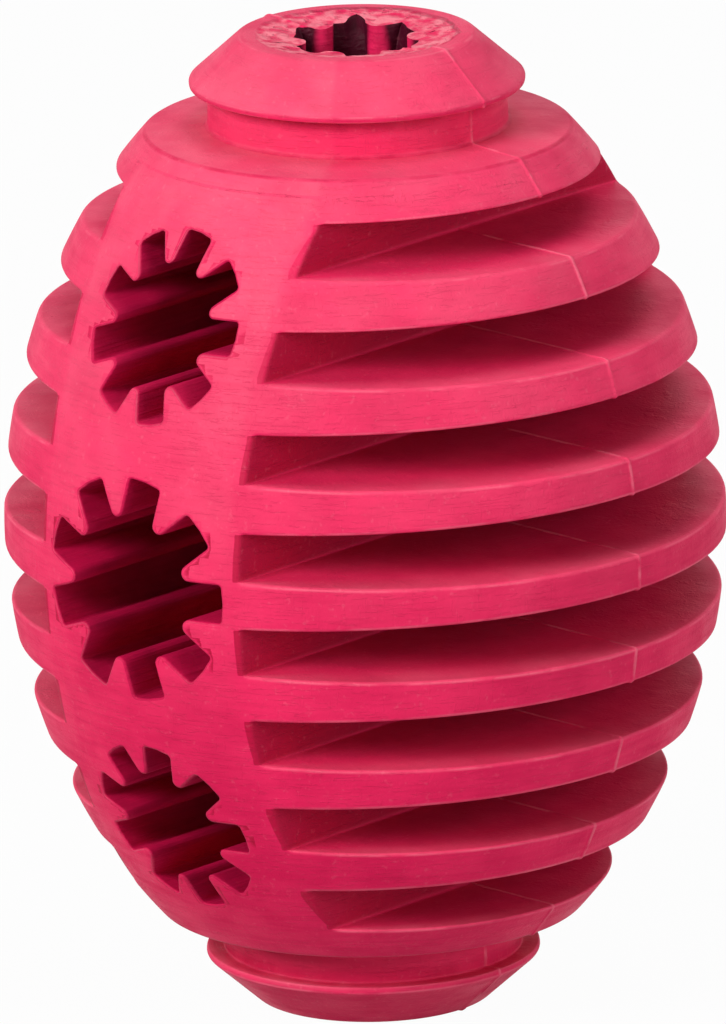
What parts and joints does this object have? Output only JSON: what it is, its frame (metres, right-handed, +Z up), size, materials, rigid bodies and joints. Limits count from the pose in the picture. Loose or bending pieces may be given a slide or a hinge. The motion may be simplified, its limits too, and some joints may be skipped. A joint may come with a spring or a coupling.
{
  "type": "dog chew toy",
  "caption": "Ribbed rugby-ball-shaped rubber chew toy that stands on end, with toothed holes through its smooth band and along its axis, and a flared collar at each end.",
  "frame": {"origin": "middle of the flat end face that the toy stands on", "axes": "+Z up along the long axis, Y through the three toothed holes with the pictured holes opening towards -Y, X through the middle of the ribbed flanks"},
  "size_m": [0.08, 0.0788, 0.11],
  "materials": {
    "rubber": "matt moulded natural rubber, strawberry red"
  },
  "bodies": {
    "root": {"front_half": "rubber", "rear_half": "rubber"}
  },
  "joints": []
}
